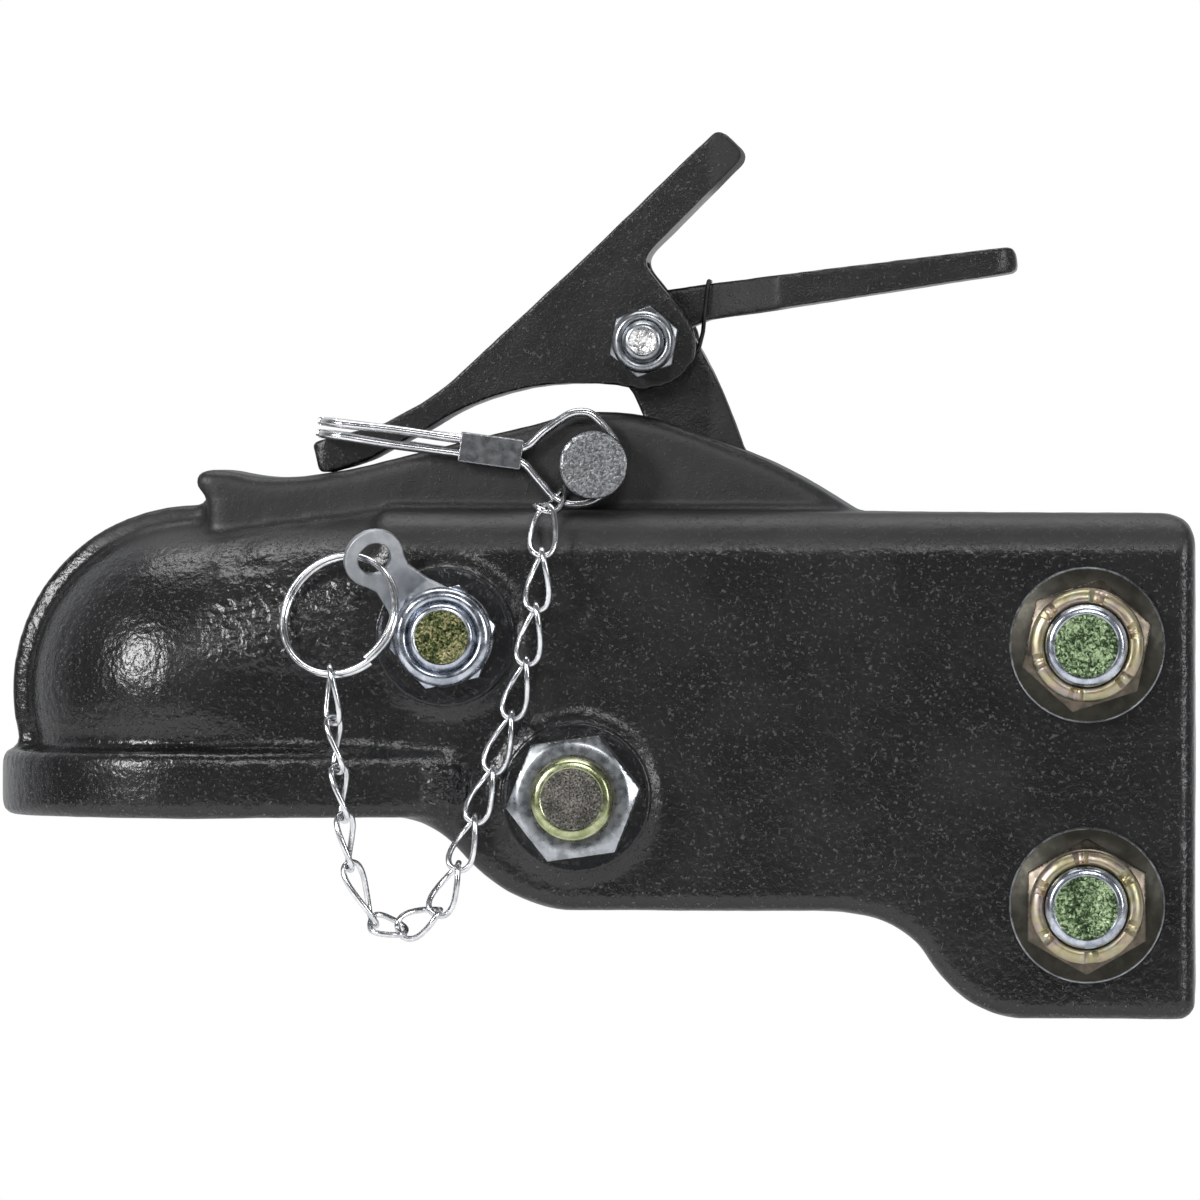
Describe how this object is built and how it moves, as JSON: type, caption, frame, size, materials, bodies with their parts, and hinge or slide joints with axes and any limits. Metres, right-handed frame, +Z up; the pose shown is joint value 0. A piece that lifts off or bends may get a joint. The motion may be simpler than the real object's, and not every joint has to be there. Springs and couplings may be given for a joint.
{
  "type": "trailer coupling head",
  "caption": "Cast trailer coupling head with a domed ball socket, a lever-and-trigger latch, a ball clamp, drawbar bolts and a chained safety pin.",
  "frame": {"origin": "centre of the hitch ball when it is seated in the socket", "axes": "+X from the ball socket to the drawbar end, +Z up, and Y across; the safety chain hangs on the -Y side"},
  "size_m": [0.2953, 0.1101, 0.2174],
  "materials": {
    "cast_black": "powder-coated rough casting",
    "lever_black": "smooth black coating",
    "bright_zinc": "clear zinc plate",
    "yellow_zinc": "yellow zinc plate",
    "spring_black": "black oxide"
  },
  "bodies": {
    "housing": {"body_casting": "cast_black", "lever_bolt": "yellow_zinc", "lever_bolt_nut": "bright_zinc", "clamp_bolt": "yellow_zinc", "clamp_bolt_nut": "bright_zinc", "upper_drawbar_bolt": "yellow_zinc", "upper_drawbar_nut": "yellow_zinc", "lower_drawbar_bolt": "yellow_zinc", "lower_drawbar_nut": "yellow_zinc", "chain_tab": "bright_zinc", "split_ring": "bright_zinc", "chain_link_1": "bright_zinc", "chain_link_2": "bright_zinc", "chain_link_3": "bright_zinc", "chain_link_4": "bright_zinc", "chain_link_5": "bright_zinc", "chain_link_6": "bright_zinc", "chain_link_7": "bright_zinc", "chain_link_8": "bright_zinc", "chain_link_9": "bright_zinc", "chain_link_10": "bright_zinc", "chain_link_11": "bright_zinc", "chain_link_12": "bright_zinc", "chain_link_13": "bright_zinc", "chain_link_14": "bright_zinc", "chain_link_15": "bright_zinc", "chain_link_16": "bright_zinc"},
    "lever": {"lever": "lever_black", "trigger_bolt": "bright_zinc", "trigger_nut": "bright_zinc", "trigger_spring": "spring_black"},
    "trigger": {"trigger": "lever_black"},
    "clamp": {"ball_clamp": "cast_black", "clamp_drive_pin": "bright_zinc"},
    "pin": {"safety_pin": "bright_zinc", "pin_bail": "bright_zinc", "bail_ferrule": "bright_zinc"}
  },
  "joints": [
    {"name": "lever_lift", "type": "hinge", "parent": "housing", "child": "lever", "pos_m": [0.0636, 0, 0.0135], "axis": [0, -1, 0], "range_deg": [0, 15.6]},
    {"name": "trigger_squeeze", "type": "hinge", "parent": "lever", "child": "trigger", "pos_m": [0.1113, 0, 0.0857], "axis": [0, 1, 0], "range_deg": [0, 20.4], "deforming": ["trigger_spring"]},
    {"name": "clamp_open", "type": "hinge", "parent": "housing", "child": "clamp", "pos_m": [0.0956, 0, -0.0258], "axis": [0, 1, 0], "range_deg": [0, 22.6]},
    {"name": "bail_swing", "type": "hinge", "parent": "housing", "child": "pin", "pos_m": [0.0995, 0, 0.0554], "axis": [0, 1, 0], "range_deg": [0, 27], "deforming": ["chain_link_1"]}
  ],
  "couplings": [
    {"joint": "trigger_squeeze", "follows": "lever_lift", "ratio": 1.3},
    {"joint": "clamp_open", "follows": "lever_lift", "ratio": 1.4423},
    {"joint": "bail_swing", "follows": "lever_lift", "ratio": 1.72}
  ]
}
